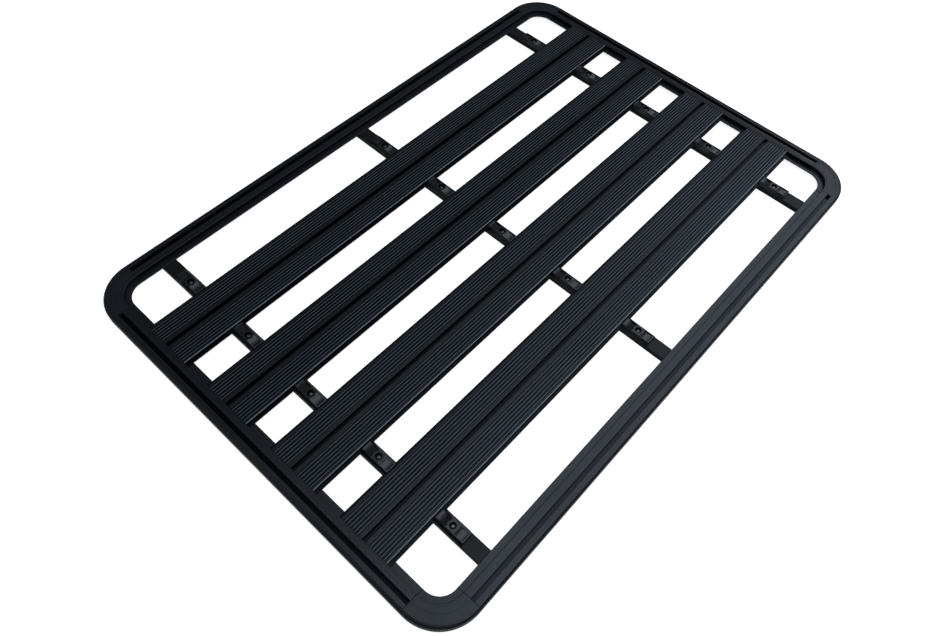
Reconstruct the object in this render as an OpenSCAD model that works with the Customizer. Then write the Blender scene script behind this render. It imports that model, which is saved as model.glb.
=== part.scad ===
/* [Overall] */
// Length over the short rails, along the planks
rack_l = 1800; // [1200:10:2400]
// Width over the long rails, across the planks
rack_w = 1253; // [1200:1:1500]
// Height of the perimeter rails
rail_h = 28; // [26:1:40]

/* [Rails] */
// Width of the rail body, without its ledge
rail_w = 49.5; // [47:0.5:60]
// Wall thickness of the rail extrusion
rail_wall = 2; // [1.5:0.1:2.5]
// Rounding of the rail's outer top edge
rail_round = 8; // [4:0.5:9]
// Rounding of the rail's inner top edge and its foot
rail_edge = 1.5; // [0.5:0.1:2]
// Distance from the outer face to the accessory slot
rail_slot_in = 18.5; // [17:0.5:20]
// Distance from the inner face to the fine groove on top
line_in = 4.5; // [3:0.5:6]
// Width of the fine grooves
line_w = 1.2; // [0.6:0.1:1.5]
// Depth of the fine grooves
line_d = 0.7; // [0.3:0.1:0.9]
// Depth of the ledge below the rail's top
ledge_drop = 11.5; // [11:0.5:13]
// Width of the ledge that carries the planks
ledge_w = 17.5; // [12:0.5:20]
// Thickness of the ledge
ledge_t = 4; // [3:0.5:5]
// Rounding of the ledge's edges
ledge_round = 1; // [0.4:0.1:1.4]

/* [Accessory channels] */
// Width of the slots along the rails, planks and cross bars
slot_w = 12; // [8:0.5:13]
// Inside width of the channels under the slots
channel_w = 20.5; // [17:0.5:22]
// Inside height of the channels in the rails
channel_h = 8; // [6:0.5:8.5]
// Thickness of the lips beside the slots
lip_t = 2.5; // [2:0.1:3]

/* [Corners] */
// Outer radius of the corner castings, seen from above
corner_r = 114; // [90:1:150]
// Straight leg of each casting past its bend
corner_leg = 5; // [3:1:12]
// Wall thickness of the castings
corner_wall = 3.5; // [3:0.1:4]
// How far the casting's inner wall and ledge stand proud of the rail's
corner_proud = 1; // [0:0.1:1.5]
// Depth of the track that carries the slot's line round the bend
track_d = 0.8; // [0.3:0.1:1.2]
// Length of the spigots that plug into the rails
spigot_l = 40; // [20:1:60]
// Wall thickness of the spigots
spigot_wall = 3; // [2:0.5:4]
// Gap between a spigot and the chamber round it
spigot_fit = 0.3; // [0.1:0.05:0.5]
// Number of ribs under a casting's bend
corner_ribs = 3; // [1:1:5]
// Thickness of the casting's ribs
corner_rib_t = 3; // [2:0.5:4]
// Diameter of the joint screws' holes in the rails
screw_hole_d = 5.3; // [5:0.1:6]
// Diameter of the countersinks round the joint screws' holes
screw_head_d = 9.3; // [8:0.1:11]
// Diameter of the joint screws' tapped holes in the spigots
screw_tap_d = 4.2; // [4:0.1:4.8]

/* [Planks] */
// Number of planks
plank_count = 4; // [2:1:4]
// Gap between two planks, which a clamp fills
plank_gap = 73; // [60:0.5:85]
// Gap between an outer plank and the long rail's ledge
side_gap = 131; // [90:0.5:160]
// Width of the thin flange on each side of the plank
flange_w = 9; // [7:0.5:10]
// Depth of the flange below the plank's top
flange_drop = 8; // [6:0.5:8.5]
// Distance of the plank's top below the rail's top
plank_drop = 0.5; // [0.5:0.1:2]
// Wall thickness of the plank extrusion
plank_wall = 1.8; // [1.5:0.1:2]
// Gap between a plank's end and the short rail's inner wall
end_gap = 0.5; // [0.2:0.1:2]
// Flat land beside the plank's slot, from its middle
plank_land = 16; // [14:0.5:17]
// Spacing of the grip ribs
rib_pitch = 8.1; // [6:0.1:10]
// Width of a grip rib's crest
rib_w = 2.2; // [1.5:0.1:3]
// Slope at each side of a grip rib
rib_slope = 0.7; // [0.3:0.1:1]
// Height of a grip rib
rib_h = 1.2; // [0.5:0.1:1.5]
// Width of the flat band along the plank's top edges
edge_band = 6; // [3:0.5:7]
// Rounding of the plank's edges
plank_edge = 1; // [0.4:0.1:1.4]

/* [Cross bars] */
// Number of cross bars
bar_count = 3; // [2:1:3]
// Distance of the outer cross bars from the rack's ends
bar_inset = 204.5; // [180:0.5:300]
// Width of a cross bar
bar_w = 40; // [38:1:50]
// Wall thickness of a cross bar
bar_wall = 2; // [1.5:0.1:2.5]
// Rounding of a cross bar's edges
bar_edge = 1.5; // [0.5:0.1:1.5]
// Inside height of the channel in a cross bar's underside
bar_channel_h = 7; // [5:0.5:7]
// Gap between a cross bar and the rail that it butts
bar_fit = 0.3; // [0.1:0.05:0.5]
// Diameter of the tapped holes in the ledges for the bars' end screws
ledge_tap_d = 5; // [4.8:0.1:5.5]
// Metal left over the tapped holes in the ledges
ledge_skin = 1; // [0.5:0.1:1.5]

/* [Clamps] */
// Depth of a clamp's top below the planks' tops
clamp_drop = 1; // [0.5:0.1:2]
// Reach of a clamp's tab over the plank's flange
tab_reach = 6; // [3:0.5:6.5]
// Gap between a clamp and the plank's flange
clamp_fit = 0.5; // [0.2:0.1:1]
// Width of a clamp's top, between its sloping sides
clamp_top_w = 27; // [24:1:32]
// Bevel round a clamp's top
clamp_bevel = 1; // [0.5:0.1:1.5]
// Height of a clamp's upright foot, below its sloping sides
clamp_foot_h = 2; // [1:0.5:4]
// Width of the rim left beside a clamp's scoops
clamp_rim = 1.5; // [1:0.5:3]
// Width of the lip left at each end of a clamp
clamp_lip = 3; // [2:0.5:5]
// Depth of a clamp's scoops
scoop_d = 3.2; // [2:0.1:4]
// Outer diameter of the collar round the bolt
collar_d = 26; // [22:0.5:27]
// Diameter of the counterbore for the bolt's head
counterbore_d = 17; // [14:0.5:18]
// Depth of the counterbore
counterbore_depth = 7; // [5:0.5:7.5]
// Diameter of the bolt holes in the clamps and bars
bolt_hole_d = 6.5; // [6.2:0.1:7]

/* [Hidden] */
// Straight steps in each rounded edge of a section
arc_steps = 5;
$fn = 48;
// Length by which a cut runs past the face that it opens
past = 1;

// Names of the cross bars' places, from the rear to the front
bar_places = bar_count == 3 ? ["rear", "middle", "front"] : ["rear", "front"];

// Heights above the level that the rack rests on
ledge_z = rail_h - ledge_drop;
ledge_foot = ledge_z - ledge_t;
channel_floor = rail_h - lip_t - channel_h;

// Places across a rail, measured inward from its outer face
slot_mid = rail_slot_in + slot_w / 2;
ledge_edge = rail_w + ledge_w;
corner_reach = corner_r + corner_leg;
screw_places = [(slot_mid + rail_wall / 2) / 2, (slot_mid + rail_w - rail_wall / 2) / 2];

// Sizes of the planks, and their places from the left
plank_pitch = (rack_w - 2 * (ledge_edge + side_gap) + plank_gap) / plank_count;
plank_w = plank_pitch - plank_gap;
plank_top_w = plank_w - 2 * flange_w;
plank_h = rail_h - plank_drop - ledge_z;
plank_l = rack_l - 2 * rail_w - 2 * end_gap;
flange_t = plank_h - flange_drop;
plank_channel_h = plank_h - lip_t - plank_wall;
rib_room = plank_top_w / 2 - edge_band - plank_land - rib_w / 2 - 2 * rib_slope;
rib_count = floor(rib_room / rib_pitch + 0.5);
function plank_y(i) = ((plank_count + 1) / 2 - i) * plank_pitch;

// Sizes of the cross bars, and their places from the rear
bar_h = ledge_z;
bar_l = rack_w - 2 * rail_w - 2 * bar_fit;
bar_web = lip_t + bar_channel_h;
bar_top = bar_h - bar_wall;
tongue_l = ledge_w + bar_fit;
tongue_h = ledge_foot - bar_fit;
function bar_x(i) = (2 * i / (bar_count - 1) - 1) * (rack_l / 2 - bar_inset);

// Sizes of the clamps, and their places from the left
clamp_body_l = plank_gap - 2 * clamp_fit;
clamp_l = plank_gap + 2 * tab_reach;
clamp_h = plank_h - clamp_drop;
scoop_near = (collar_d + counterbore_d) / 4;
scoop_chord = clamp_l / 2 - clamp_lip - scoop_near;
scoop_r = (scoop_chord * scoop_chord / 4 + scoop_d * scoop_d) / (2 * scoop_d);
function clamp_y(k) = (plank_count / 2 - k) * plank_pitch;

// Points of an arc round c with radius r, from angle a to angle b
function arc(c, r, a, b) = [for (i = [0 : arc_steps])
    let (t = a + (b - a) * i / arc_steps) c + r * [cos(t), sin(t)]];

// Outline of a rail, its inner wall and ledge moved inward and up by proud
function rail_outline(proud) =
    let (wall = rail_w + proud, top = ledge_z + proud)
    concat(
        arc([rail_edge, rail_edge], rail_edge, 270, 180),
        arc([rail_round, rail_h - rail_round], rail_round, 180, 90),
        arc([wall - rail_edge, rail_h - rail_edge], rail_edge, 90, 0),
        [[wall, top]],
        arc([ledge_edge - ledge_round, top - ledge_round], ledge_round, 90, 0),
        arc([ledge_edge - ledge_round, ledge_foot + ledge_round], ledge_round, 0, -90),
        [[wall, ledge_foot]],
        arc([wall - rail_edge, rail_edge], rail_edge, 0, -90));

// Rectangle between two opposite corners
module span(a, b) {
    translate(a) square(b - a);
}

// Slot and channel round x = 0, in a face at the height top
module channel(top, deep) {
    span([-slot_w / 2, top - lip_t - past], [slot_w / 2, top + past]);
    span([-channel_w / 2, top - lip_t - deep], [channel_w / 2, top - lip_t]);
}

// Fine groove in a rail's top, round x
module fine_line(x) {
    span([x - line_w / 2, rail_h - line_d], [x + line_w / 2, rail_h + past]);
}

// The two fine grooves along every rail and casting
module fine_lines(inner_face) {
    fine_line(rail_round + line_w);
    fine_line(inner_face - line_in);
}

// Chamber between the channel and the rounded outer edge
module outer_chamber() {
    side = slot_mid - channel_w / 2 - rail_wall;
    polygon(concat(
        [[rail_wall, channel_floor]],
        arc([rail_round, rail_h - rail_round], rail_round - rail_wall, 180, 90),
        [[side, rail_h - rail_wall], [side, channel_floor]]));
}

// Chamber between the channel and the inner wall
module inner_chamber() {
    span([slot_mid + channel_w / 2 + rail_wall, channel_floor],
        [rail_w - rail_wall, rail_h - lip_t]);
}

// The two chambers under the channel, drawn smaller all round by fit
module lower_chambers(fit) {
    low = rail_wall + fit;
    high = channel_floor - rail_wall - fit;
    span([rail_wall + fit, low], [slot_mid - rail_wall / 2 - fit, high]);
    span([slot_mid + rail_wall / 2 + fit, low], [rail_w - rail_wall - fit, high]);
}

module rail_section() {
    difference() {
        polygon(rail_outline(0));
        translate([slot_mid, 0]) channel(rail_h, channel_h);
        fine_lines(rail_w);
        outer_chamber();
        inner_chamber();
        lower_chambers(0);
    }
}

// Countersunk hole for a joint screw, through the floor of a rail
module screw_hole() {
    cylinder(h = rail_wall, d1 = screw_head_d, d2 = screw_hole_d);
    cylinder(h = rail_wall + past, d = screw_hole_d);
}

// A rail along X, its outer face on y = 0 and its ledge towards +Y
module rail(length) {
    difference() {
        translate([-length / 2, 0, 0]) rotate([90, 0, 90]) linear_extrude(length) rail_section();
        for (end = [-1, 1], y = screw_places)
            translate([end * (length - spigot_l) / 2, y, 0]) screw_hole();
    }
}

// Long rail on the side +Y or -Y, tapped under its ledge for the cross bars
module long_rail(side) {
    color([0.10, 0.11, 0.13])
        mirror([0, side > 0 ? 1 : 0, 0]) translate([0, -rack_w / 2, 0])
            difference() {
                rail(rack_l - 2 * corner_reach);
                for (i = [0 : bar_count - 1])
                    translate([bar_x(i), rail_w + ledge_w / 2, tongue_h])
                        cylinder(h = ledge_z - ledge_skin - tongue_h, d = ledge_tap_d);
            }
}

// Short rail at the end +X or -X
module short_rail(end) {
    color([0.10, 0.11, 0.13])
        mirror([end > 0 ? 1 : 0, 0, 0]) translate([-rack_l / 2, 0, 0]) rotate([0, 0, -90])
            rail(rack_w - 2 * corner_reach);
}

// Solid section of a casting, with the slot's line carried on as a shallow track
module casting_section() {
    difference() {
        polygon(rail_outline(corner_proud));
        fine_lines(rail_w + corner_proud);
        span([rail_slot_in, rail_h - track_d], [rail_slot_in + slot_w, rail_h + past]);
    }
}

// Hollow of a casting, open below, with walls of the thickness wall
module casting_hollow(wall) {
    polygon(concat(
        [[wall, -past]],
        arc([rail_round, rail_h - rail_round], rail_round - wall, 180, 90),
        [[rail_w - wall, rail_h - wall], [rail_w - wall, -past]]));
}

// Turns a section a quarter round, with its outer face at the radius corner_r
module bend() {
    rotate_extrude(angle = 90) translate([corner_r, 0]) mirror([1, 0]) children();
}

// Rib across the hollow of a bend, at an angle, its foot set back from the level
module casting_rib(angle) {
    rotate([90, 0, angle]) linear_extrude(corner_rib_t, center = true)
        translate([corner_r, 0]) mirror([1, 0]) intersection() {
            casting_hollow(corner_wall - past);
            span([0, corner_wall], [rail_w, rail_h]);
        }
}

// End plate and hollow spigots of a casting, pointing along +X from x = 0
module casting_end() {
    rotate([90, 0, 90]) linear_extrude(corner_leg) casting_section();
    difference() {
        rotate([90, 0, 90]) linear_extrude(corner_leg + spigot_l) difference() {
            lower_chambers(spigot_fit);
            lower_chambers(spigot_fit + spigot_wall);
        }
        for (y = screw_places)
            translate([corner_leg + spigot_l / 2, y, 0])
                cylinder(h = rail_wall + spigot_fit + spigot_wall + past, d = screw_tap_d);
    }
}

// Casting for the corner at -X and -Y, the middle of its bend on the origin
module casting() {
    rotate(180) {
        difference() {
            bend() casting_section();
            bend() casting_hollow(corner_wall);
        }
        for (i = [1 : corner_ribs])
            casting_rib(90 * i / (corner_ribs + 1));
    }
    translate([0, -corner_r, 0]) casting_end();
    mirror([1, -1, 0]) translate([0, -corner_r, 0]) casting_end();
}

module corner(end, side) {
    color([0.12, 0.13, 0.15])
        mirror([end > 0 ? 1 : 0, 0, 0]) mirror([0, side > 0 ? 1 : 0, 0])
            translate([corner_r - rack_l / 2, corner_r - rack_w / 2, 0]) casting();
}

// Points over one grip rib, round x, from the valley height up to the crest
function rib_points(x, valley) = [
    [x - rib_w / 2 - rib_slope, valley], [x - rib_w / 2, plank_h],
    [x + rib_w / 2, plank_h], [x + rib_w / 2 + rib_slope, valley]];

// Right half of a plank's outline, with its ribs and its thin flange
function plank_outline(valley) =
    let (side = plank_top_w / 2, band = side - edge_band)
    concat(
        [[-past, 0], [-past, plank_h], [plank_land, plank_h], [plank_land + rib_slope, valley]],
        [for (i = [1 : rib_count], p = rib_points(plank_land + (i - 0.5) * rib_pitch, valley)) p],
        [[band - rib_slope, valley], [band, plank_h]],
        arc([side - plank_edge, plank_h - plank_edge], plank_edge, 90, 0),
        [[side, flange_t]],
        arc([plank_w / 2 - plank_edge, flange_t - plank_edge], plank_edge, 90, 0),
        [[plank_w / 2, 0]]);

// Right half of a plank's section, without its channel
module half_plank() {
    valley = plank_h - rib_h;
    side = plank_top_w / 2;
    web = (channel_w / 2 + side) / 2;
    difference() {
        polygon(plank_outline(valley));
        span([channel_w / 2 + plank_wall, -past], [web - plank_wall / 2, valley - plank_wall]);
        span([web + plank_wall / 2, -past], [side - plank_wall, valley - plank_wall]);
    }
}

module plank_section() {
    difference() {
        union() {
            half_plank();
            mirror([1, 0]) half_plank();
        }
        channel(plank_h, plank_channel_h);
    }
}

module plank(i) {
    color([0.13, 0.14, 0.17])
        translate([-plank_l / 2, plank_y(i), ledge_z])
            rotate([90, 0, 90]) linear_extrude(plank_l) plank_section();
}

// Section of a cross bar: a channel in its underside, a web over it, and three chambers
module bar_section() {
    side = bar_w / 2 - bar_edge;
    inner = channel_w / 2 + bar_wall;
    difference() {
        polygon(concat(
            arc([side, bar_edge], bar_edge, -90, 0),
            arc([side, bar_h - bar_edge], bar_edge, 0, 90),
            arc([-side, bar_h - bar_edge], bar_edge, 90, 180),
            arc([-side, bar_edge], bar_edge, 180, 270)));
        mirror([0, 1]) channel(0, bar_channel_h);
        span([-channel_w / 2, bar_web + bar_wall], [channel_w / 2, bar_top]);
        span([inner, bar_wall], [bar_w / 2 - bar_wall, bar_top]);
        span([bar_wall - bar_w / 2, bar_wall], [-inner, bar_top]);
    }
}

// A cross bar, its ends cut down to tongues that are screwed up under the ledges
module cross_bar(i) {
    color([0.10, 0.11, 0.12])
        translate([bar_x(i), 0, 0]) difference() {
            rotate([90, 0, 0]) linear_extrude(bar_l, center = true) bar_section();
            for (side = [0, 1])
                mirror([0, side, 0]) translate([0, bar_l / 2, 0]) {
                    translate([-bar_w, -tongue_l, tongue_h])
                        cube([2 * bar_w, tongue_l + past, bar_h]);
                    translate([0, bar_fit - ledge_w / 2, lip_t])
                        cylinder(h = bar_h, d = bolt_hole_d);
                }
            for (k = [0 : plank_count])
                translate([0, clamp_y(k), lip_t]) cylinder(h = bar_h, d = bolt_hole_d);
        }
}

// Outline of a clamp across the bar, with sloping sides
function clamp_across() =
    let (foot = bar_w / 2, top = clamp_top_w / 2, b = clamp_bevel)
    [[-foot, 0], [-foot, clamp_foot_h], [-top - b, clamp_h - b], [-top, clamp_h],
     [top, clamp_h], [top + b, clamp_h - b], [foot, clamp_foot_h], [foot, 0]];

// Outline of a clamp along the bar, with a tab at each end
function clamp_along() =
    let (body = clamp_body_l / 2, end = clamp_l / 2, b = clamp_bevel)
    [[-body, 0], [-body, flange_t], [-end, flange_t], [-end, clamp_h - b],
     [b - end, clamp_h], [end - b, clamp_h], [end, clamp_h - b], [end, flange_t],
     [body, flange_t], [body, 0]];

// Scoop between the collar and the lip at the end +Y
module clamp_scoop() {
    width = clamp_top_w - 2 * clamp_rim;
    translate([0, scoop_near + scoop_chord / 2, clamp_h - scoop_d + scoop_r])
        rotate([0, 90, 0]) cylinder(h = width, r = scoop_r, center = true);
}

module clamp_body() {
    difference() {
        union() {
            difference() {
                intersection() {
                    rotate([90, 0, 0])
                        linear_extrude(clamp_l, center = true) polygon(clamp_across());
                    rotate([90, 0, 90])
                        linear_extrude(bar_w, center = true) polygon(clamp_along());
                }
                clamp_scoop();
                mirror([0, 1, 0]) clamp_scoop();
            }
            cylinder(h = clamp_h, d = collar_d);
        }
        translate([0, 0, clamp_h - counterbore_depth])
            cylinder(h = clamp_h, d = counterbore_d);
        translate([0, 0, -past]) cylinder(h = clamp_h, d = bolt_hole_d);
    }
}

module clamp(i, k) {
    color([0.08, 0.085, 0.09])
        translate([bar_x(i), clamp_y(k), bar_h]) clamp_body();
}

long_rail(1);  // long_rail_left
long_rail(-1);  // long_rail_right
short_rail(1);  // short_rail_front
short_rail(-1);  // short_rail_rear
corner(1, 1);  // corner_front_left
corner(1, -1);  // corner_front_right
corner(-1, 1);  // corner_rear_left
corner(-1, -1);  // corner_rear_right
for (i = [1 : plank_count])
    plank(i);
for (i = [0 : bar_count - 1])
    cross_bar(i);
for (i = [0 : bar_count - 1], k = [0 : plank_count])
    clamp(i, k);
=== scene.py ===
"""Flat platform roof rack: its screws, its coats of finish and its studio stage."""

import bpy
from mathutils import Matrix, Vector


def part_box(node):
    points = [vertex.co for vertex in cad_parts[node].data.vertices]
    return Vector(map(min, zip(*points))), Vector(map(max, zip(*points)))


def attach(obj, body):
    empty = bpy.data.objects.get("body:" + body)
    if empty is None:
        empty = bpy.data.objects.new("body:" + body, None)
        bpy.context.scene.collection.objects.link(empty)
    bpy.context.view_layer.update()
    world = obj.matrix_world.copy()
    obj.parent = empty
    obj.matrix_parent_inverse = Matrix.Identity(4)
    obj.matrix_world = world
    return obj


bl_info = {
    "name": "Flat Platform Roof Rack",
    "version": (1, 0, 0),
    "blender": (4, 5, 0),
    "location": "3D View > Sidebar > Roof Rack",
    "description": "Adds the screws, coats and stage of a flat platform roof rack",
    "category": "Object",
}

import math
import random

import bmesh
import bpy
from mathutils import Matrix, Vector

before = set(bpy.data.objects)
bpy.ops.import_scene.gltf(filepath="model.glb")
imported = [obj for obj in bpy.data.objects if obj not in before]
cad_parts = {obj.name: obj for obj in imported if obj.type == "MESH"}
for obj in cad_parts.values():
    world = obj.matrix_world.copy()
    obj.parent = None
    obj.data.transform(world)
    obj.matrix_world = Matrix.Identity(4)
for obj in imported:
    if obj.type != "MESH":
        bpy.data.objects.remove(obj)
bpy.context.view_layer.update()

MM = 0.001
BODY = "root"
PLACES = ("rear", "middle", "front")
SIDES = ("left", "right")
CLAMPS = [f"clamp_{place}_{number}" for place in PLACES for number in range(1, 6)]
PLANKS = [f"plank_{number}" for number in range(1, 5)]
BARS = [f"cross_bar_{place}" for place in PLACES]
LONG_RAILS = ["long_rail_left", "long_rail_right"]
SHORT_RAILS = ["short_rail_front", "short_rail_rear"]
CORNERS = ["corner_front_left", "corner_front_right", "corner_rear_left", "corner_rear_right"]

# Sides of a round screw, seed of the screws' turns, and slack when faces and edges are chosen
ROUND = 28
SEED = 11
NEAR = 0.05 * MM
# Edges and play of the screws, washers and nut plates
POINT_INSET = 0.5 * MM
POINT_L = 0.3 * MM
SUNK_EDGE = 0.15 * MM
WASHER_PLAY = 0.2 * MM
WASHER_EDGE = 0.2 * MM
PLATE_PLAY = 0.1 * MM
PLATE_EDGE = 0.4 * MM
# Spacing of the planks and bars, and the planks' ribs, as in the solids
PITCH = 232.5 * MM
BAR_STEP = 695.5 * MM
PLANK_HALF = 70.75 * MM
RIB_LAND = 16.0 * MM
RIB_PITCH = 8.1 * MM
RIB_COUNT = 6
# Painted highlight line on a rib, as shares of the rib pitch, and on a plank's right edge
RIB_HIGHLIGHT = (0.07, 0.17)
RIB_HIGHLIGHT_SHARE = 0.25
EDGE_HIGHLIGHT = (1.2 * MM, 1.6 * MM)
# Heights that the coats go by, and the gloss taken away between the ribs as painted shade
FLOOR_Z = 16.9 * MM
CHANNEL_Z = 23.5 * MM
LIP_Z = 25.5 * MM
VALLEY_Z = 26.5 * MM
SLOPE_Z = 26.6 * MM
CREST_Z = 27.2 * MM
VALLEY_SHADE = 0.7
# Seam of a casting, and the bore, which is darkened as painted shade, and collar of a clamp
SEAM_W = 1.4 * MM
BORE_R = 8.4 * MM
BORE_EDGE = 0.4 * MM
COLLAR_R = 14.0 * MM


def length(name, description, default):
    """A property that holds a length in metres."""
    return bpy.props.FloatProperty(
        name=name, description=description, default=default, min=0.0, precision=5, unit="LENGTH"
    )


def spot(name, description, default):
    """A property that holds a place in the rack's frame."""
    return bpy.props.FloatVectorProperty(
        name=name, description=description, default=default, subtype="TRANSLATION", unit="LENGTH"
    )


def power(name, description, default):
    """A property that holds a lamp's power."""
    return bpy.props.FloatProperty(
        name=name, description=description, default=default, min=0.0, subtype="POWER", unit="POWER"
    )


def share(name, description, default):
    """A property that holds a share from 0 to 1."""
    return bpy.props.FloatProperty(
        name=name, description=description, default=default, min=0.0, max=1.0, subtype="FACTOR"
    )


def colour(name, description, default):
    """A property that holds a linear colour."""
    return bpy.props.FloatVectorProperty(
        name=name, description=description, default=default, subtype="COLOR", size=3, min=0.0, max=1.0
    )


class RackScrewSizes(bpy.types.PropertyGroup):
    """Sizes of the rack's screws, washers and nut plates."""

    head_d: length("Head diameter", "Diameter of the button heads", 10.5 * MM)
    head_h: length("Head height", "Height of the button heads", 3.3 * MM)
    head_edge: length("Head rounding", "Rounding of the heads, from rim to socket", 2.9 * MM)
    socket_w: length("Socket width", "Width across the flats of the hexagon sockets", 4.0 * MM)
    socket_deep: length("Socket depth", "Depth of the hexagon sockets", 2.0 * MM)
    shank_d: length("Shank diameter", "Diameter of the clamp screws' shanks", 6.0 * MM)
    clamp_screw_l: length("Clamp screw length", "Clamp screw under its head", 17.0 * MM)
    end_screw_l: length("End screw length", "Bar's end screw under its head", 5.6 * MM)
    thread_turn: length("Thread pitch", "Distance from one turn of the thread to the next", 1.0 * MM)
    thread_l: length("Thread length", "Length of the thread that shows below a shank", 6.0 * MM)
    thread_deep: length("Thread depth", "Depth of the thread", 0.45 * MM)
    bore_deep: length("Counterbore depth", "Depth of the counterbores in the clamps", 7.0 * MM)
    washer_d: length("Washer diameter", "Outer diameter of the washers", 12.5 * MM)
    washer_t: length("Washer thickness", "Thickness of the washers", 1.0 * MM)
    plate_w: length("Nut plate width", "Width of a nut plate, just under its channel's", 19.8 * MM)
    plate_l: length("Nut plate length", "Length of the nut plates along the channel", 20.0 * MM)
    plate_t: length("Nut plate thickness", "Thickness of the nut plates", 4.0 * MM)
    plate_corner: length("Nut plate corner", "Rounding of the nut plates' corners", 2.0 * MM)
    web_z: length("Web height", "Height of the web over the cross bars' channels", 9.5 * MM)
    ledge_w: length("Ledge width", "Width of the ledges over the bars' tongues", 17.5 * MM)
    sunk_head_d: length("Sunk head diameter", "Diameter of the countersunk heads", 9.1 * MM)
    sunk_head_h: length("Sunk head height", "Height of the countersunk heads", 2.0 * MM)
    sunk_shank_d: length("Sunk shank diameter", "Diameter of the joint screws' shanks", 5.0 * MM)
    sunk_socket_w: length("Sunk socket width", "Width of the joint screws' sockets", 3.0 * MM)
    sunk_socket_deep: length("Sunk socket depth", "Depth of the joint screws' sockets", 1.4 * MM)
    spigot_mid: length("Spigot middle", "Distance of the joint screws from the joint", 20.0 * MM)
    outer_row: length("Outer screw row", "Outer joint screw, from the rail's outer face", 12.75 * MM)
    inner_row: length("Inner screw row", "Inner joint screw, from the rail's outer face", 36.5 * MM)
    lift: length("Lift", "Joint screws' height over what the rack rests on", 0.05 * MM)


class RackCoatColours(bpy.types.PropertyGroup):
    """Colours of the rack's finishes."""

    extrusion: colour("Extrusion coat", "Powder coat of the rails and planks", (0.003, 0.0042, 0.006))
    # The rib crests' colour is a painted highlight: a lighter tone on the planks' rib crests and right
    # edges
    crest_highlight: colour("Rib crest highlights", "Painted highlight on the planks' rib crests and right edges", (0.16, 0.187, 0.213))
    casting: colour("Casting coat", "Powder coat of the castings", (0.0045, 0.0057, 0.0076))
    bar: colour("Cross bar coat", "Powder coat of the cross bars", (0.004, 0.0042, 0.0045))
    clamp: colour("Clamp moulding", "Moulded nylon of the clamps", (0.0035, 0.0042, 0.0052))
    screw: colour("Screw steel", "Black-oxide steel of screws and nut plates", (0.08, 0.08, 0.083))
    # The washers' colour is partly their real oxide-blackened steel and partly painted shade: darker than
    # the screws' steel, as down in the bores
    washer: colour("Washer steel", "Black-oxide steel of the washers", (0.009, 0.009, 0.0095))


class RackStageSettings(bpy.types.PropertyGroup):
    """Camera, lamps and ground of the studio stage."""

    camera_place: spot("Camera place", "Where the camera stands", (-1.09044, -0.77503, 1.64984))
    camera_turn: bpy.props.FloatVectorProperty(
        name="Camera turn", description="The camera's turn about X, Y and Z", subtype="EULER",
        default=(math.radians(32.5559), math.radians(-2.8040), math.radians(-47.6440)),
    )
    lens: bpy.props.FloatProperty(
        name="Lens", description="Focal length on a sensor 36 mm wide", default=28.690, unit="CAMERA"
    )
    key_place: spot("Key lamp place", "Where the key lamp hangs", (1.7, -1.1, 2.6))
    key_power: power("Key lamp power", "Power of the key lamp", 133.0)
    key_l: length("Key lamp length", "Length of the key and edge lamps, along the rack", 5.2)
    key_w: length("Key lamp width", "Width of the key lamp, across the rack", 2.4)
    edge_place: spot("Edge lamp place", "Where the weaker lamp beside the key lamp hangs", (1.7, 0.62, 2.6))
    edge_power: power("Edge lamp power", "Power of the edge lamp", 14.0)
    edge_w: length("Edge lamp width", "Width of the edge lamp, across the rack", 0.9)
    cool_light: colour("Cool light", "Colour of the key and edge lamps", (0.75, 0.865, 1.0))
    fill_place: spot("Fill lamp place", "Where the fill lamp hangs", (-3.2, 1.5, 3.4))
    fill_power: power("Fill lamp power", "Power of the fill lamp", 20.0)
    fill_w: length("Fill lamp width", "Width and length of the fill lamp", 3.0)
    warm_light: colour("Warm light", "Colour of the fill lamp", (1.0, 0.97, 0.93))
    sky: share("Sky strength", "Strength of the plain sky", 0.3)
    sky_light: colour("Sky light", "Colour of the plain sky", (0.86, 0.95, 1.0))
    ground: colour("Ground", "Colour of the ground and the backdrop", (0.44, 0.43, 0.415))
    glow: share("Ground glow", "White that the ground shows the camera", 0.85)
    mirrored: share("Mirrored share", "Share of that white that the coats' gloss shows", 0.06)
    ground_w: length("Ground width", "Width of the ground", 48.0)
    backdrop_h: length("Backdrop height", "Height of the backdrop round the ground", 5.0)


def deselect():
    """Deselect every object, the CAD nodes among them."""
    bpy.ops.object.select_all(action="DESELECT")


def add_round(radius, low, high, sides=ROUND):
    """Add an upright cylinder between two heights, as the only selected object."""
    deselect()
    bpy.ops.mesh.primitive_cylinder_add(
        vertices=sides, radius=radius, depth=high - low, location=(0.0, 0.0, (low + high) / 2)
    )
    return bpy.context.active_object


def start_shaping():
    """Put a new primitive's place and scale into its mesh, and enter edit mode."""
    bpy.ops.object.transform_apply(location=True, scale=True)
    bpy.ops.object.mode_set(mode="EDIT")


def choose(piece, kind, wanted):
    """In edit mode, select only the faces or edges for which wanted(part) is true."""
    shape = bmesh.from_edit_mesh(piece.data)
    bpy.ops.mesh.select_mode(type=kind)
    bpy.ops.mesh.select_all(action="DESELECT")
    for part in shape.faces if kind == "FACE" else shape.edges:
        part.select_set(wanted(part))
    shape.select_flush_mode()
    bmesh.update_edit_mesh(piece.data)


def level_face(height, way):
    """A test for the flat faces at a height that look up, way = 1, or down, way = -1."""
    return lambda face: face.normal.z * way > 0.99 and abs(face.calc_center_median().z - height) < NEAR


def rim_edges(height, radius):
    """A test for the edges round a rim, at a height and a radius."""
    def on_rim(edge):
        ends = [vertex.co for vertex in edge.verts]
        return all(abs(co.z - height) < NEAR and abs(co.xy.length - radius) < NEAR for co in ends)

    return on_rim


def extrude(distance):
    """Extrude the selected faces along Z."""
    bpy.ops.mesh.extrude_region_move(TRANSFORM_OT_translate={"value": (0.0, 0.0, distance)})


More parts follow.
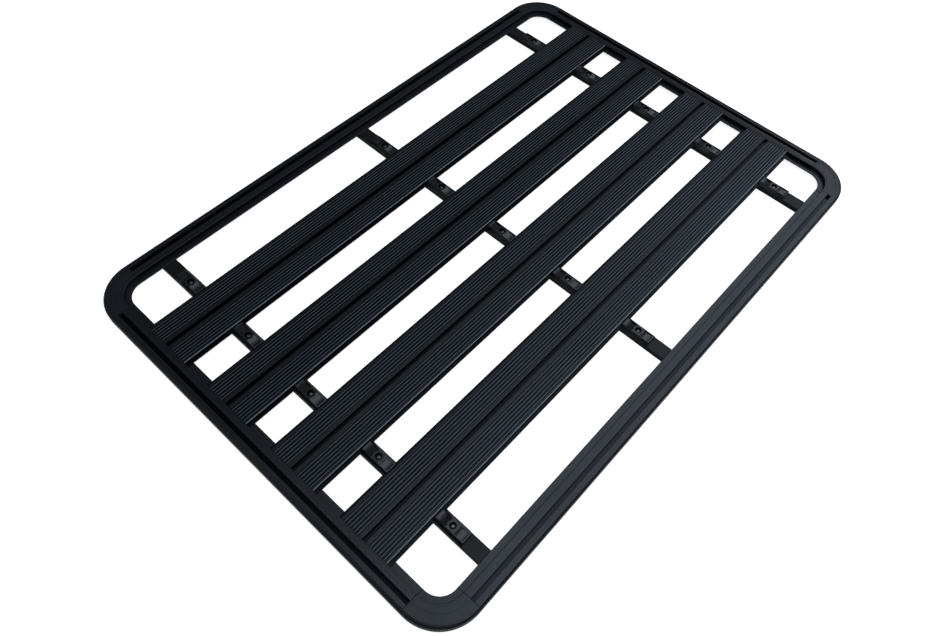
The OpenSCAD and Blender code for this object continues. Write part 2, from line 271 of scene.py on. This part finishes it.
def cut_out(piece, cutter):
    """Cut one object out of another, and remove the cutter."""
    deselect()
    piece.select_set(True)
    bpy.context.view_layer.objects.active = piece
    cut = piece.modifiers.new("Cut", "BOOLEAN")
    cut.operation = "DIFFERENCE"
    cut.solver = "EXACT"
    cut.object = cutter
    bpy.ops.object.modifier_apply(modifier=cut.name)
    bpy.data.objects.remove(cutter)


def cut_socket(piece, width, low, high):
    """Cut a hexagon socket, of a width across its flats, into a head between two heights."""
    cut_out(piece, add_round(width / 2 / math.cos(math.pi / 6), low, high, sides=6))


def cut_thread(sizes, direction, radius):
    """Extrude the selected end face into a thread, along Z."""
    turns = round(sizes.thread_l / sizes.thread_turn)
    waist = (radius - sizes.thread_deep) / radius
    step = direction * sizes.thread_turn / 2
    for _ in range(turns):
        extrude(step)
        bpy.ops.transform.resize(value=(waist, waist, 1.0))
        extrude(step)
        bpy.ops.transform.resize(value=(1 / waist, 1 / waist, 1.0))


def finish_model(piece, name):
    """Smooth a modelled piece, put its place into its mesh and name it."""
    deselect()
    piece.select_set(True)
    bpy.context.view_layer.objects.active = piece
    bpy.ops.object.shade_smooth_by_angle(angle=math.radians(32))
    bpy.ops.object.transform_apply(location=True, rotation=True, scale=True)
    piece.name = name
    return piece


def set_copies(model, places, material):
    """Put one copy of a model, with its own mesh, at each named place, and remove the model."""
    for name, (place, turn) in places.items():
        piece = model.copy()
        piece.data = model.data.copy()
        piece.name = name
        piece.data.name = name
        piece.data.transform(Matrix.Translation(place) @ turn)
        bpy.context.scene.collection.objects.link(piece)
        piece.data.materials.clear()
        piece.data.materials.append(material)
        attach(piece, BODY)
    bpy.data.objects.remove(model)


def screw_turns(names):
    """A turn about Z for each name, as screws come to rest at any angle."""
    chance = random.Random(SEED)
    return {name: Matrix.Rotation(chance.uniform(0.0, math.pi / 3), 4, "Z") for name in names}


def button_screw(sizes, shank_l, threaded, name):
    """A socket button screw, its head above z = 0 and its shank below."""
    head_r = sizes.head_d / 2
    head_h = sizes.head_h
    shank_r = sizes.shank_d / 2
    screw = add_round(head_r, 0.0, head_h)
    start_shaping()
    choose(screw, "EDGE", rim_edges(head_h, head_r))
    bpy.ops.mesh.bevel(offset=sizes.head_edge, segments=6)
    choose(screw, "FACE", level_face(0.0, -1))
    bpy.ops.mesh.inset(thickness=head_r - shank_r)
    if threaded:
        extrude(sizes.thread_l - shank_l)
        cut_thread(sizes, -1.0, shank_r)
    else:
        extrude(-shank_l)
    bpy.ops.mesh.inset(thickness=POINT_INSET)
    bpy.ops.transform.translate(value=(0.0, 0.0, -POINT_L))
    bpy.ops.object.mode_set(mode="OBJECT")
    cut_socket(screw, sizes.socket_w, head_h - sizes.socket_deep, head_h + MM)
    return finish_model(screw, name)


def sunk_screw(sizes, name):
    """A countersunk joint screw, its flat face down at z = 0 and its shank above."""
    head_r = sizes.sunk_head_d / 2
    head_h = sizes.sunk_head_h
    shank_r = sizes.sunk_shank_d / 2
    deselect()
    bpy.ops.mesh.primitive_cone_add(
        vertices=ROUND, radius1=head_r, radius2=shank_r, depth=head_h, location=(0.0, 0.0, head_h / 2)
    )
    screw = bpy.context.active_object
    start_shaping()
    choose(screw, "FACE", level_face(head_h, 1))
    cut_thread(sizes, 1.0, shank_r)
    choose(screw, "EDGE", rim_edges(0.0, head_r))
    bpy.ops.mesh.bevel(offset=SUNK_EDGE, segments=2)
    bpy.ops.object.mode_set(mode="OBJECT")
    cut_socket(screw, sizes.sunk_socket_w, -MM, sizes.sunk_socket_deep)
    return finish_model(screw, name)


def washer_model(sizes, name):
    """A flat washer, from z = 0 up, with a softened outer edge."""
    outer_r = sizes.washer_d / 2
    inner_r = sizes.shank_d / 2 + WASHER_PLAY
    washer = add_round(outer_r, 0.0, sizes.washer_t)
    start_shaping()
    choose(washer, "FACE", lambda face: abs(face.normal.z) > 0.99)
    bpy.ops.mesh.inset(thickness=outer_r - inner_r)
    bpy.ops.mesh.bridge_edge_loops()
    choose(washer, "EDGE", rim_edges(sizes.washer_t, outer_r))
    bpy.ops.mesh.bevel(offset=WASHER_EDGE, segments=2)
    bpy.ops.object.mode_set(mode="OBJECT")
    return finish_model(washer, name)


def nut_plate_model(sizes, name):
    """A nut plate for the cross bars' channels, its upper face at z = 0."""
    thick = sizes.plate_t
    deselect()
    bpy.ops.mesh.primitive_cube_add(size=1.0, location=(0.0, 0.0, -thick / 2))
    plate = bpy.context.active_object
    plate.scale = (sizes.plate_w, sizes.plate_l, thick)
    start_shaping()
    choose(plate, "EDGE", lambda edge: abs(edge.verts[0].co.z - edge.verts[1].co.z) > thick / 2)
    bpy.ops.mesh.bevel(offset=sizes.plate_corner, segments=4)
    choose(plate, "FACE", level_face(-thick, -1))
    bpy.ops.mesh.bevel(offset=PLATE_EDGE, segments=2)
    bpy.ops.object.mode_set(mode="OBJECT")
    cut_out(plate, add_round(sizes.shank_d / 2 + PLATE_PLAY, -2 * thick, thick))
    return finish_model(plate, name)


def bore_floor(clamp, sizes):
    """The middle of the floor of a clamp's counterbore."""
    low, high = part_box(clamp)
    return Vector(((low.x + high.x) / 2, (low.y + high.y) / 2, high.z - sizes.bore_deep))


def bar_end(bar, side, sizes):
    """The middle of a bar's tongue, on the underside of its web."""
    low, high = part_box(bar)
    across = high.y - sizes.ledge_w / 2 if side == "left" else low.y + sizes.ledge_w / 2
    return Vector(((low.x + high.x) / 2, across, sizes.web_z))


def joint_places(sizes):
    """Place of each joint screw, under the two ends of every rail."""
    places = {}
    near = sizes.spigot_mid
    for rail in LONG_RAILS + SHORT_RAILS:
        low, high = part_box(rail)
        for row, inset in enumerate((sizes.outer_row, sizes.inner_row), 1):
            for end in ("a", "b"):
                if rail in LONG_RAILS:
                    along = low.x + near if end == "a" else high.x - near
                    across = high.y - inset if rail.endswith("left") else low.y + inset
                    place = Vector((along, across, sizes.lift))
                else:
                    along = low.y + near if end == "a" else high.y - near
                    across = high.x - inset if rail.endswith("front") else low.x + inset
                    place = Vector((across, along, sizes.lift))
                places[f"joint_screw_{rail}_{end}{row}"] = place
    return places


class NodeDesk:
    """Short ways to lay out a material's nodes."""

    def __init__(self, name):
        self.material = bpy.data.materials.new(name)
        self.material.use_nodes = True
        self.tree = self.material.node_tree
        self.tree.nodes.clear()
        self.output = self.add("ShaderNodeOutputMaterial")
        self.shader = self.add("ShaderNodeBsdfPrincipled")
        self.join(self.shader.outputs["BSDF"], self.output.inputs["Surface"])
        self.coords = self.add("ShaderNodeTexCoord").outputs["Object"]
        split = self.add("ShaderNodeSeparateXYZ")
        self.join(self.coords, split.inputs["Vector"])
        self.axes = split.outputs

    def add(self, kind, **values):
        """Add a node and set its plain values."""
        node = self.tree.nodes.new(kind)
        for key, value in values.items():
            setattr(node, key, value)
        return node

    def join(self, source, target):
        """Join an output to an input."""
        self.tree.links.new(source, target)

    def noise(self, scale, detail, stretch=(1.0, 1.0, 1.0)):
        """Noise on the object's own coordinates, stretched along an axis where asked."""
        place = self.add("ShaderNodeMapping")
        place.inputs["Scale"].default_value = stretch
        self.join(self.coords, place.inputs["Vector"])
        noise = self.add("ShaderNodeTexNoise")
        noise.inputs["Scale"].default_value = scale
        noise.inputs["Detail"].default_value = detail
        self.join(place.outputs["Vector"], noise.inputs["Vector"])
        return noise.outputs["Fac"]

    def reach(self, source, start, end, first, last, **values):
        """Bring a value from one span into another."""
        reach = self.add("ShaderNodeMapRange", **values)
        reach.inputs["From Min"].default_value = start
        reach.inputs["From Max"].default_value = end
        reach.inputs["To Min"].default_value = first
        reach.inputs["To Max"].default_value = last
        self.join(source, reach.inputs["Value"])
        return reach.outputs["Result"]

    def span(self, source, low, high):
        """Bring a noise value into a span."""
        return self.reach(source, 0.3, 0.7, low, high)

    def fade(self, source, start, end):
        """1 up to a start and 0 past an end, with a soft step between them."""
        return self.reach(source, start, end, 1.0, 0.0, interpolation_type="SMOOTHSTEP")

    def tint(self, source, dark, light):
        """A ramp from a dark colour to a light one."""
        ramp = self.add("ShaderNodeValToRGB")
        ramp.color_ramp.elements[0].position = 0.32
        ramp.color_ramp.elements[0].color = (*dark, 1.0)
        ramp.color_ramp.elements[1].position = 0.68
        ramp.color_ramp.elements[1].color = (*light, 1.0)
        self.join(source, ramp.inputs["Fac"])
        return ramp.outputs["Color"]

    def reckon(self, operation, first, second=0.0):
        """One step of arithmetic on one or two outputs or numbers."""
        step = self.add("ShaderNodeMath", operation=operation)
        for socket, value in zip(step.inputs, (first, second)):
            if isinstance(value, bpy.types.NodeSocket):
                self.join(value, socket)
            else:
                socket.default_value = value
        return step.outputs["Value"]

    def blend(self, mask, first, tone):
        """One colour where a mask is 0, and a plain tone where it is 1."""
        mix = self.add("ShaderNodeMix", data_type="RGBA")
        self.join(mask, mix.inputs[0])
        self.join(first, mix.inputs[6])
        mix.inputs[7].default_value = (*tone, 1.0)
        return mix.outputs[2]

    def from_nearest(self, axis, step, start):
        """Distance along an axis from the nearest of the places that repeat at a step."""
        moved = self.reckon("ADD", self.axes[axis], step / 2 - start)
        return self.reckon("SUBTRACT", self.reckon("FLOORED_MODULO", moved, step), step / 2)

    def bumps(self, layers):
        """Bump layers, from (value, strength, depth) rows, one over the other."""
        normal = None
        for source, strength, depth in layers:
            bump = self.add("ShaderNodeBump")
            bump.inputs["Strength"].default_value = strength
            bump.inputs["Distance"].default_value = depth
            self.join(source, bump.inputs["Height"])
            if normal:
                self.join(normal, bump.inputs["Normal"])
            normal = bump.outputs["Normal"]
        self.join(normal, self.shader.inputs["Normal"])


def shade(tone, amount):
    """A colour made darker or lighter."""
    return tuple(min(1.0, part * amount) for part in tone)


def painted_rib_highlights(desk):
    """Painted highlight lines on the crests of a plank's ribs, and more strongly along its right edge: 0
    beside them.
    """
    offset = desk.from_nearest("Y", PITCH, PITCH / 2)
    across = desk.reckon("SUBTRACT", desk.reckon("ABSOLUTE", offset), RIB_LAND)
    wave = desk.reckon("PINGPONG", desk.reckon("DIVIDE", across, RIB_PITCH), 0.5)
    ribs = desk.fade(desk.reckon("SUBTRACT", 0.5, wave), *RIB_HIGHLIGHT)
    past_land = desk.reckon("GREATER_THAN", across, 0.0)
    before_band = desk.reckon("LESS_THAN", across, RIB_COUNT * RIB_PITCH)
    ribs = desk.reckon("MULTIPLY", ribs, desk.reckon("MULTIPLY", past_land, before_band))
    ribs = desk.reckon("MULTIPLY", ribs, RIB_HIGHLIGHT_SHARE)
    edge = desk.fade(offset, EDGE_HIGHLIGHT[0] - PLANK_HALF, EDGE_HIGHLIGHT[1] - PLANK_HALF)
    high_up = desk.reckon("GREATER_THAN", desk.axes["Z"], SLOPE_Z)
    return desk.reckon("MULTIPLY", desk.reckon("MAXIMUM", ribs, edge), high_up)


def channel_shade_mask(desk):
    """The inside of a rail's or plank's channel, where painted shade goes: 1 in it, 0 over it and under its
    floor.
    """
    low_down = desk.fade(desk.axes["Z"], CHANNEL_Z, LIP_Z)
    return desk.reckon("MULTIPLY", low_down, desk.reckon("GREATER_THAN", desk.axes["Z"], FLOOR_Z))


def seam(desk, joint_x, joint_y):
    """A narrow groove at both ends of a casting, where it meets the rails: 1 in it, 0 beside it."""
    along = desk.reckon("SUBTRACT", desk.reckon("ABSOLUTE", desk.axes["X"]), joint_x)
    across = desk.reckon("SUBTRACT", desk.reckon("ABSOLUTE", desk.axes["Y"]), joint_y)
    return desk.fade(desk.reckon("MINIMUM", along, across), SEAM_W * 0.6, SEAM_W)


def powder_coat(name, tone, rough, gloss, drawn=(1.0, 1.0, 1.0), joints=None, crest_highlight=None, channels=0.0):
    """Fine-textured powder coat: a grain under a millimetre, soft mottling and faint drawn lines.

    joints is where a casting's seams are; the rib tone is the colour of the painted highlight on a
    plank's rib crests and right edge; the channel share is the gloss taken away as painted shade in a
    channel, whose colour is darkened as painted shade too, and when a rib tone is given, painted
    shade also takes gloss away between the ribs.
    """
    desk = NodeDesk(name)
    grain = desk.noise(1500.0, 3.0)
    mottle = desk.noise(38.0, 4.0)
    haze = desk.noise(5.0, 3.0)
    lines = desk.noise(260.0, 2.0, drawn)
    coat = desk.tint(mottle, shade(tone, 0.82), shade(tone, 1.2))
    dullness = desk.span(haze, rough - 0.04, rough + 0.05)
    # Painted highlight on the rib crests and the plank's right edge, as a lighter colour
    if crest_highlight:
        coat = desk.blend(painted_rib_highlights(desk), coat, crest_highlight)
    # Painted shade in a channel: a darker colour, and gloss taken away by a metallic share over that dark
    # colour
    if channels:
        inside = channel_shade_mask(desk)
        coat = desk.blend(inside, coat, shade(tone, 0.5))
        painted_shade_gloss = desk.reckon("MULTIPLY", inside, channels)
        # Painted shade between the ribs: gloss taken away there as well
        if crest_highlight:
            valley_shade = desk.reckon("MULTIPLY", desk.fade(desk.axes["Z"], VALLEY_Z, CREST_Z), VALLEY_SHADE)
            painted_shade_gloss = desk.reckon("MAXIMUM", painted_shade_gloss, valley_shade)
        desk.join(painted_shade_gloss, desk.shader.inputs["Metallic"])
    desk.join(coat, desk.shader.inputs["Base Color"])
    layers = [(grain, 0.3, 0.1 * MM), (lines, 0.04, 0.05 * MM)]
    if joints:
        groove = seam(desk, *joints)
        dullness = desk.reckon("MAXIMUM", dullness, groove)
        layers.append((desk.reckon("SUBTRACT", 1.0, groove), 1.0, 0.8 * MM))
    desk.join(dullness, desk.shader.inputs["Roughness"])
    desk.bumps(layers)
    desk.shader.inputs["Specular IOR Level"].default_value = gloss
    return desk.material


def moulding(name, tone):
    """Moulded glass-filled nylon: a soft sheen, slight flow marks and a very fine grain.

    The bore is darkened inside as painted shade, and the recesses past the collar mirror as if they fell
    away steeply.
    """
    desk = NodeDesk(name)
    grain = desk.noise(2200.0, 2.0)
    flow = desk.noise(90.0, 4.0, (1.0, 0.35, 1.0))
    along = desk.from_nearest("X", BAR_STEP, 0.0)
    across = desk.from_nearest("Y", PITCH, 0.0)
    along_squared = desk.reckon("MULTIPLY", along, along)
    squares = desk.reckon("ADD", along_squared, desk.reckon("MULTIPLY", across, across))
    bore = desk.fade(desk.reckon("SQRT", squares), BORE_R, BORE_R + BORE_EDGE)
    past_collar = desk.reckon("SUBTRACT", desk.reckon("ABSOLUTE", across), COLLAR_R)
    fall = desk.reckon("MULTIPLY", desk.reckon("MAXIMUM", past_collar, 0.0), -1.0)
    surface = desk.tint(flow, shade(tone, 0.8), shade(tone, 1.35))
    # Painted shade in the bore: a darker colour and a metallic share over it
    desk.join(desk.blend(bore, surface, shade(tone, 0.3)), desk.shader.inputs["Base Color"])
    desk.join(desk.reckon("MULTIPLY", bore, 0.9), desk.shader.inputs["Metallic"])
    desk.join(desk.span(flow, 0.2, 0.27), desk.shader.inputs["Roughness"])
    desk.bumps([(fall, 1.0, 250 * MM), (grain, 0.25, 0.06 * MM), (flow, 0.1, 0.1 * MM)])
    desk.shader.inputs["Specular IOR Level"].default_value = 0.25
    return desk.material


def dark_steel(name, tone, rough, metallic):
    """Blackened steel: small scuffs, a little uneven tone and a slight grain."""
    desk = NodeDesk(name)
    scuff = desk.noise(700.0, 5.0)
    patch = desk.noise(160.0, 2.0)
    desk.shader.inputs["Metallic"].default_value = metallic
    desk.join(desk.tint(patch, shade(tone, 0.78), shade(tone, 1.08)), desk.shader.inputs["Base Color"])
    desk.join(desk.span(scuff, rough - 0.06, rough + 0.12), desk.shader.inputs["Roughness"])
    desk.bumps([(scuff, 0.2, 0.04 * MM)])
    return desk.material


def wear(nodes, material):
    """Give CAD nodes a finish."""
    for name in nodes:
        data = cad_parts[name].data
        data.materials.clear()
        data.materials.append(material)


class RACK_OT_coats(bpy.types.Operator):
    """Give the rails, castings, planks, cross bars and clamps their finishes"""

    bl_idname = "rack.coats"
    bl_label = "Coats"

    def execute(self, context):
        tones = context.scene.rack_colours
        along_x = (0.02, 1.0, 1.0)
        along_y = (1.0, 0.02, 1.0)
        joints = (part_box("long_rail_left")[1].x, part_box("short_rail_front")[1].y)
        satin = {"tone": tones.extrusion, "rough": 0.28, "gloss": 0.2}
        wear(LONG_RAILS, powder_coat("long_rail_coat", **satin, drawn=along_x, channels=0.5))
        wear(SHORT_RAILS, powder_coat("short_rail_coat", **satin, drawn=along_y, channels=0.95))
        wear(CORNERS, powder_coat("corner_coat", tones.casting, rough=0.32, gloss=0.2, joints=joints))
        ribbed = powder_coat("plank_coat", **satin, drawn=along_x, crest_highlight=tones.crest_highlight, channels=0.5)
        wear(PLANKS, ribbed)
        wear(BARS, powder_coat("bar_coat", tones.bar, rough=0.4, gloss=0.11, drawn=along_y))
        wear(CLAMPS, moulding("clamp_moulding", tones.clamp))
        return {"FINISHED"}


class RACK_OT_clamp_screws(bpy.types.Operator):
    """Put a button screw, a washer and a nut plate at every clamp"""

    bl_idname = "rack.clamp_screws"
    bl_label = "Clamp screws"

    def execute(self, context):
        sizes = context.scene.rack_screws
        tones = context.scene.rack_colours
        steel = dark_steel("clamp_screw_steel", tones.screw, rough=0.16, metallic=1.0)
        # The washers' steel is darker than the screws' as painted shade in the bores, over a real
        # oxide-blackened finish
        shaded_washer_coat = dark_steel("shaded_washer_steel", tones.washer, rough=0.42, metallic=0.85)
        turns = screw_turns(CLAMPS)
        screws, washers, plates = {}, {}, {}
        for clamp in CLAMPS:
            floor = bore_floor(clamp, sizes)
            seat = floor + Vector((0.0, 0.0, sizes.washer_t))
            web = Vector((floor.x, floor.y, sizes.web_z))
            place = clamp.removeprefix("clamp_")
            screws[f"clamp_screw_{place}"] = (seat, turns[clamp])
            washers[f"clamp_washer_{place}"] = (floor, turns[clamp])
            plates[f"nut_plate_{place}"] = (web, Matrix.Identity(4))
        set_copies(button_screw(sizes, sizes.clamp_screw_l, True, "clamp_screw"), screws, steel)
        set_copies(washer_model(sizes, "clamp_washer"), washers, shaded_washer_coat)
        set_copies(nut_plate_model(sizes, "nut_plate"), plates, steel)
        return {"FINISHED"}


class RACK_OT_bar_screws(bpy.types.Operator):
    """Screw the tongues of the cross bars up under the ledges of the long rails"""

    bl_idname = "rack.bar_screws"
    bl_label = "Bar end screws"

    def execute(self, context):
        sizes = context.scene.rack_screws
        steel = dark_steel("bar_screw_steel", context.scene.rack_colours.screw, rough=0.3, metallic=1.0)
        upside_down = Matrix.Rotation(math.pi, 4, "X")
        places = {}
        for bar in BARS:
            for side in SIDES:
                name = bar.replace("cross_bar", "bar_screw") + "_" + side
                places[name] = (bar_end(bar, side, sizes), upside_down)
        set_copies(button_screw(sizes, sizes.end_screw_l, False, "bar_screw"), places, steel)
        return {"FINISHED"}


class RACK_OT_joint_screws(bpy.types.Operator):
    """Put the countersunk screws under the joints of the rails and castings"""

    bl_idname = "rack.joint_screws"
    bl_label = "Joint screws"

    def execute(self, context):
        sizes = context.scene.rack_screws
        steel = dark_steel("joint_screw_steel", context.scene.rack_colours.screw, rough=0.3, metallic=1.0)
        places = joint_places(sizes)
        turns = screw_turns(places)
        placed = {name: (place, turns[name]) for name, place in places.items()}
        set_copies(sunk_screw(sizes, "joint_screw"), placed, steel)
        return {"FINISHED"}


def ground_material(stage):
    """Pale ground that the camera and mirrors see as white, with the rack's shadow kept on it."""
    desk = NodeDesk("ground")
    desk.shader.inputs["Base Color"].default_value = (*stage.ground, 1.0)
    desk.shader.inputs["Roughness"].default_value = 0.9
    desk.shader.inputs["Specular IOR Level"].default_value = 0.0
    path = desk.add("ShaderNodeLightPath").outputs
    mirrored = desk.reckon("MULTIPLY", path["Is Glossy Ray"], stage.mirrored)
    seen = desk.reckon("MAXIMUM", path["Is Camera Ray"], mirrored)
    seen_through = desk.reckon("MAXIMUM", seen, path["Is Transmission Ray"])
    glow = desk.add("ShaderNodeEmission")
    glow.inputs["Color"].default_value = (1.0, 1.0, 1.0, 1.0)
    desk.join(desk.reckon("MULTIPLY", seen_through, stage.glow), glow.inputs["Strength"])
    both = desk.add("ShaderNodeAddShader")
    desk.join(desk.shader.outputs["BSDF"], both.inputs[0])
    desk.join(glow.outputs["Emission"], both.inputs[1])
    desk.join(both.outputs["Shader"], desk.output.inputs["Surface"])
    return desk.material


def hang_lamp(name, place, watts, size, tone, aimed=False):
    """A soft lamp that looks down, or when aimed at the middle of the rack."""
    lamp = bpy.data.lights.new(name, "AREA")
    lamp.energy = watts
    lamp.shape = "RECTANGLE"
    lamp.size, lamp.size_y = size
    lamp.color = tone
    holder = bpy.data.objects.new(name, lamp)
    holder.location = place
    if aimed:
        holder.rotation_euler = (-Vector(place)).to_track_quat("-Z", "Y").to_euler()
    bpy.context.scene.collection.objects.link(holder)


def lay_ground(stage):
    """Lay the ground just under the rack, and stand the backdrop round it."""
    material = ground_material(stage)
    radius = stage.ground_w / 2
    deselect()
    bpy.ops.mesh.primitive_cylinder_add(
        vertices=96, radius=radius, depth=stage.backdrop_h, end_fill_type="NOTHING",
        location=(0.0, 0.0, stage.backdrop_h / 2 - MM),
    )
    backdrop = bpy.context.active_object
    backdrop.name = "backdrop"
    deselect()
    bpy.ops.mesh.primitive_circle_add(
        vertices=96, radius=radius, fill_type="NGON", location=(0.0, 0.0, -0.5 * MM)
    )
    ground = bpy.context.active_object
    ground.name = "ground"
    for part in (backdrop, ground):
        part.data.materials.append(material)


class RACK_OT_stage(bpy.types.Operator):
    """Lay the ground and backdrop, hang the lamps and set up the camera"""

    bl_idname = "rack.stage"
    bl_label = "Stage"

    def execute(self, context):
        scene = context.scene
        stage = scene.rack_stage
        lay_ground(stage)
        key_size = (stage.key_l, stage.key_w)
        edge_size = (stage.key_l, stage.edge_w)
        fill_size = (stage.fill_w, stage.fill_w)
        hang_lamp("key_lamp", stage.key_place, stage.key_power, key_size, stage.cool_light)
        hang_lamp("edge_lamp", stage.edge_place, stage.edge_power, edge_size, stage.cool_light)
        hang_lamp("fill_lamp", stage.fill_place, stage.fill_power, fill_size, stage.warm_light, aimed=True)
        sky = bpy.data.worlds.new("sky")
        sky.use_nodes = True
        backing = sky.node_tree.nodes["Background"]
        backing.inputs["Color"].default_value = (*stage.sky_light, 1.0)
        backing.inputs["Strength"].default_value = stage.sky
        scene.world = sky
        scene.view_settings.view_transform = "Standard"
        lens = bpy.data.cameras.new("camera")
        lens.sensor_width = 36.0
        lens.lens = stage.lens
        lens.clip_start = 0.01
        lens.clip_end = 200.0
        camera = bpy.data.objects.new("camera", lens)
        camera.location = stage.camera_place
        camera.rotation_euler = stage.camera_turn
        scene.collection.objects.link(camera)
        scene.camera = camera
        return {"FINISHED"}


class RACK_PT_panel(bpy.types.Panel):
    """Lists the rack's groups of pieces and its stage"""

    bl_idname = "RACK_PT_panel"
    bl_label = "Roof Rack"
    bl_space_type = "VIEW_3D"
    bl_region_type = "UI"
    bl_category = "Roof Rack"

    def draw(self, context):
        for operator in OPERATORS:
            self.layout.operator(operator.bl_idname)


GROUPS = (RackScrewSizes, RackCoatColours, RackStageSettings)
OPERATORS = (RACK_OT_coats, RACK_OT_clamp_screws, RACK_OT_bar_screws, RACK_OT_joint_screws, RACK_OT_stage)
CLASSES = GROUPS + OPERATORS + (RACK_PT_panel,)


def register():
    for kind in CLASSES:
        bpy.utils.register_class(kind)
    bpy.types.Scene.rack_screws = bpy.props.PointerProperty(type=RackScrewSizes)
    bpy.types.Scene.rack_colours = bpy.props.PointerProperty(type=RackCoatColours)
    bpy.types.Scene.rack_stage = bpy.props.PointerProperty(type=RackStageSettings)


def unregister():
    del bpy.types.Scene.rack_stage
    del bpy.types.Scene.rack_colours
    del bpy.types.Scene.rack_screws
    for kind in reversed(CLASSES):
        bpy.utils.unregister_class(kind)


def main():
    """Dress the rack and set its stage."""
    register()
    bpy.ops.rack.coats()
    bpy.ops.rack.clamp_screws()
    bpy.ops.rack.bar_screws()
    bpy.ops.rack.joint_screws()
    bpy.ops.rack.stage()


if __name__ == "__main__":
    main()
